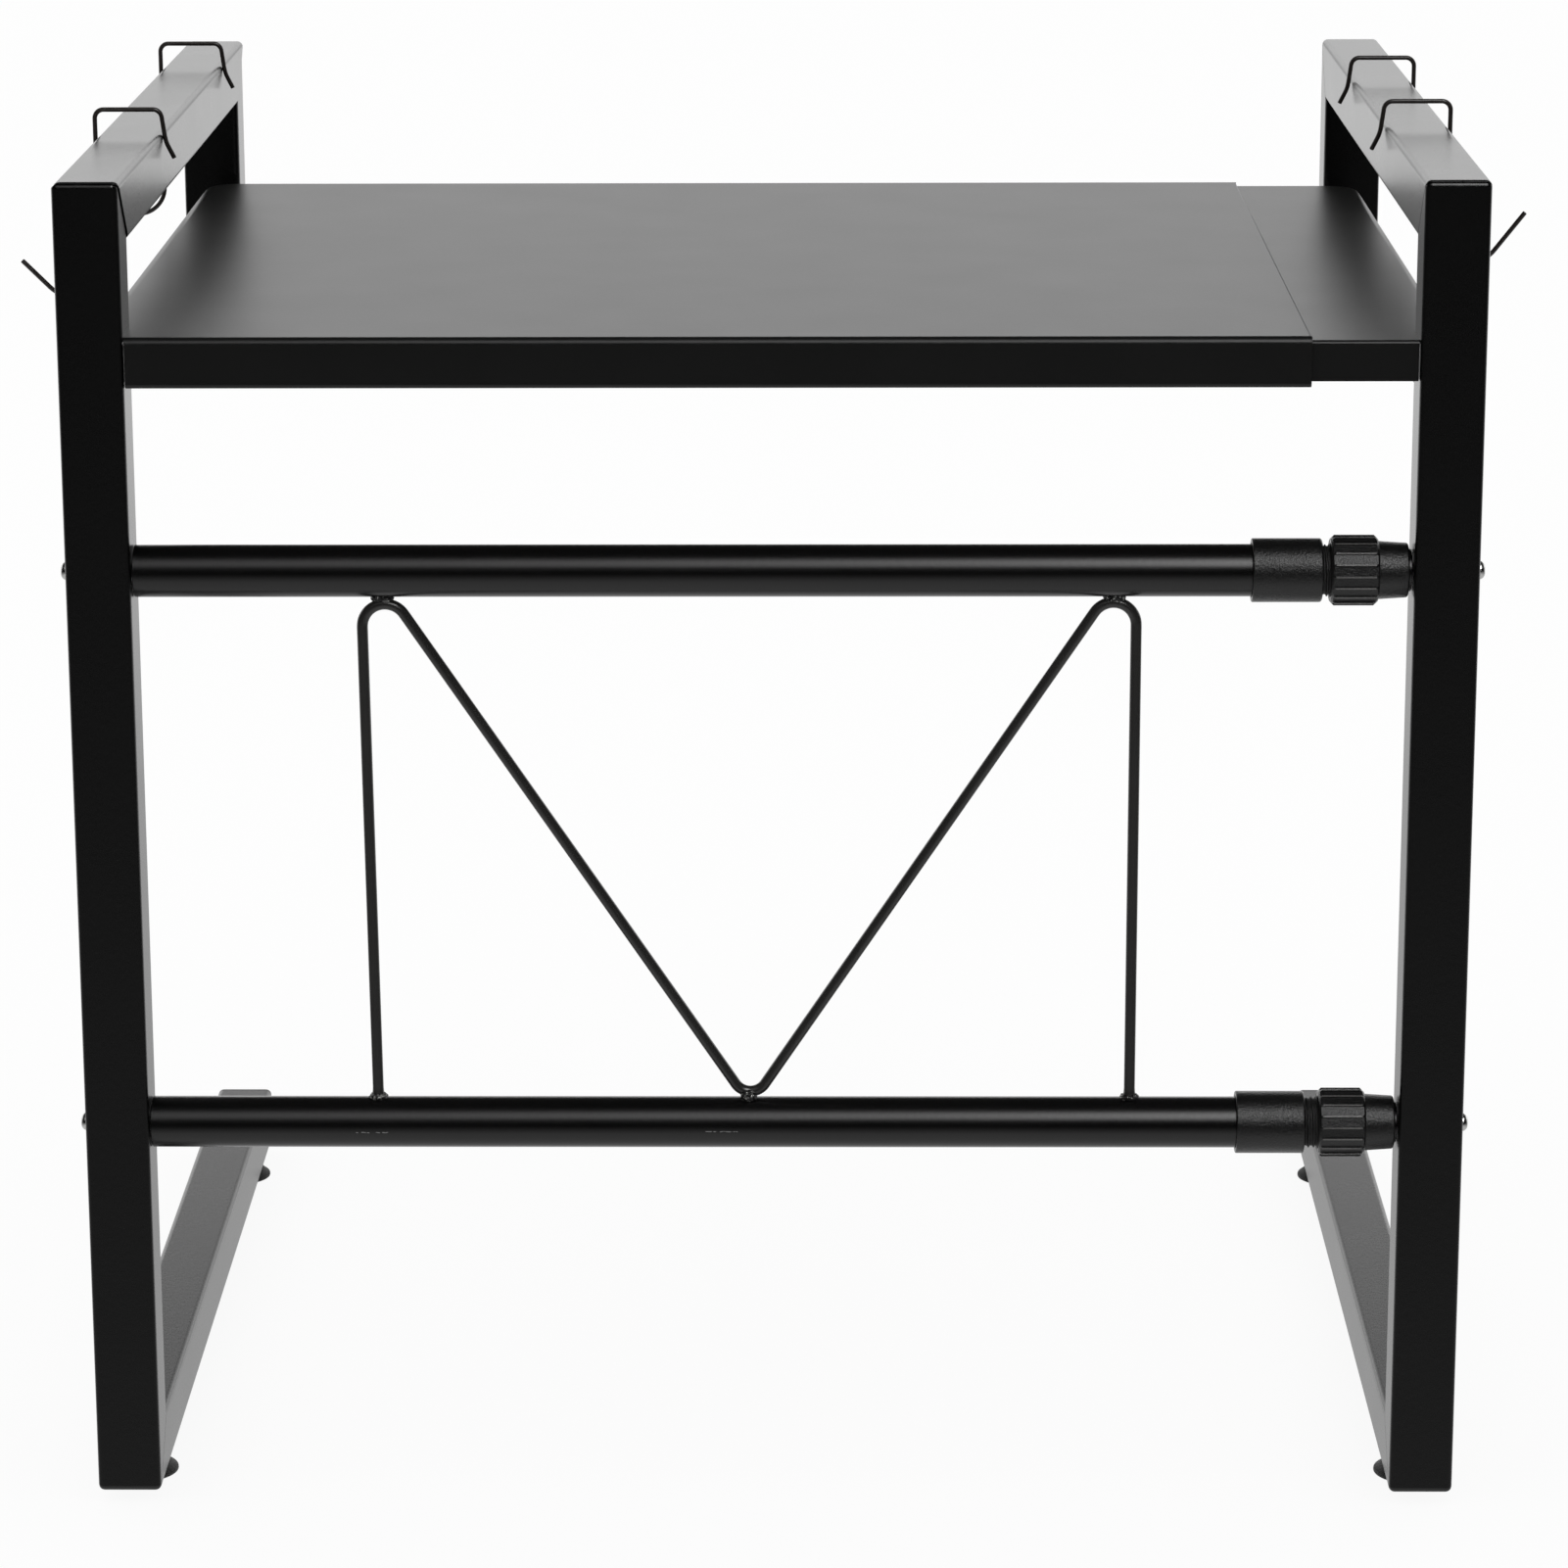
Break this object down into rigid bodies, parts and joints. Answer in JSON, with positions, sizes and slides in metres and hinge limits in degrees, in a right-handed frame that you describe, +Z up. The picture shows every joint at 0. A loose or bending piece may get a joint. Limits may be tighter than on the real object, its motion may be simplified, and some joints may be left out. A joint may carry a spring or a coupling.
{
  "type": "microwave rack",
  "caption": "Black steel countertop rack with a telescoping sheet shelf, telescopic crossbars with twist locks, a bent wire brace and sliding hooks.",
  "frame": {"origin": "on the counter, in the middle of the closed rack's bounding box", "axes": "+X to the right seen from the front, along the telescoping width; -Y out of the front; +Z up"},
  "size_m": [0.4829, 0.3618, 0.4294],
  "materials": {
    "powder_coat": "matte black powder coat with fine orange peel",
    "shelf_coat": "satin black powder coat on folded sheet",
    "wire_coat": "satin black coated wire",
    "lock_plastic": "fine grained black moulding",
    "plug_plastic": "smooth black moulding",
    "foot_rubber": "dull black rubber",
    "zinc_screw": "bright zinc plate",
    "plug_steel": "plain turned steel"
  },
  "bodies": {
    "left_half": {"front_post_left": "powder_coat", "top_rail_left": "powder_coat", "rear_post_left": "powder_coat", "bottom_rail_left": "powder_coat", "shelf_bearer_left": "powder_coat", "rail_plug_left": "plug_plastic", "rear_post_plug_left": "plug_plastic", "foot_front_left": "foot_rubber", "foot_rear_left": "foot_rubber", "outer_shelf": "shelf_coat", "outer_bar_upper": "powder_coat", "outer_bar_lower": "powder_coat", "bar_plug_upper_left": "plug_steel", "bar_plug_lower_left": "plug_steel", "collar_upper": "lock_plastic", "collar_lower": "lock_plastic", "crossbar_screw_upper_left": "zinc_screw", "crossbar_screw_lower_left": "zinc_screw", "wire_brace": "wire_coat"},
    "right_half": {"front_post_right": "powder_coat", "top_rail_right": "powder_coat", "rear_post_right": "powder_coat", "bottom_rail_right": "powder_coat", "shelf_bearer_right": "powder_coat", "rail_plug_right": "plug_plastic", "rear_post_plug_right": "plug_plastic", "foot_front_right": "foot_rubber", "foot_rear_right": "foot_rubber", "inner_shelf": "shelf_coat", "inner_bar_upper": "powder_coat", "inner_bar_lower": "powder_coat", "bar_plug_upper_right": "plug_steel", "bar_plug_lower_right": "plug_steel", "crossbar_screw_upper_right": "zinc_screw", "crossbar_screw_lower_right": "zinc_screw"},
    "lock_nut_upper_body": {"lock_nut_upper": "lock_plastic"},
    "lock_nut_lower_body": {"lock_nut_lower": "lock_plastic"},
    "hook_front_left_body": {"hook_front_left": "wire_coat"},
    "hook_rear_left_body": {"hook_rear_left": "wire_coat"},
    "hook_front_right_body": {"hook_front_right": "wire_coat"},
    "hook_rear_right_body": {"hook_rear_right": "wire_coat"}
  },
  "joints": [
    {"name": "right_half_slide", "type": "slide", "parent": "left_half", "child": "right_half", "axis": [1, 0, 0], "range_m": [0, 0.2]},
    {"name": "lock_nut_upper_turn", "type": "hinge", "parent": "left_half", "child": "lock_nut_upper_body", "pos_m": [0.1701, -0.17, 0.3011], "axis": [1, 0, 0], "range_deg": [0, 360]},
    {"name": "lock_nut_lower_turn", "type": "hinge", "parent": "left_half", "child": "lock_nut_lower_body", "pos_m": [0.1703, -0.17, 0.1245], "axis": [1, 0, 0], "range_deg": [0, 360]},
    {"name": "hook_front_left_slide", "type": "slide", "parent": "left_half", "child": "hook_front_left_body", "axis": [0, 1, 0], "range_m": [-0.095, 0.08]},
    {"name": "hook_rear_left_slide", "type": "slide", "parent": "left_half", "child": "hook_rear_left_body", "axis": [0, 1, 0], "range_m": [-0.09, 0.055]},
    {"name": "hook_front_right_slide", "type": "slide", "parent": "right_half", "child": "hook_front_right_body", "axis": [0, 1, 0], "range_m": [-0.11, 0.05]},
    {"name": "hook_rear_right_slide", "type": "slide", "parent": "right_half", "child": "hook_rear_right_body", "axis": [0, 1, 0], "range_m": [-0.058, 0.1]}
  ]
}
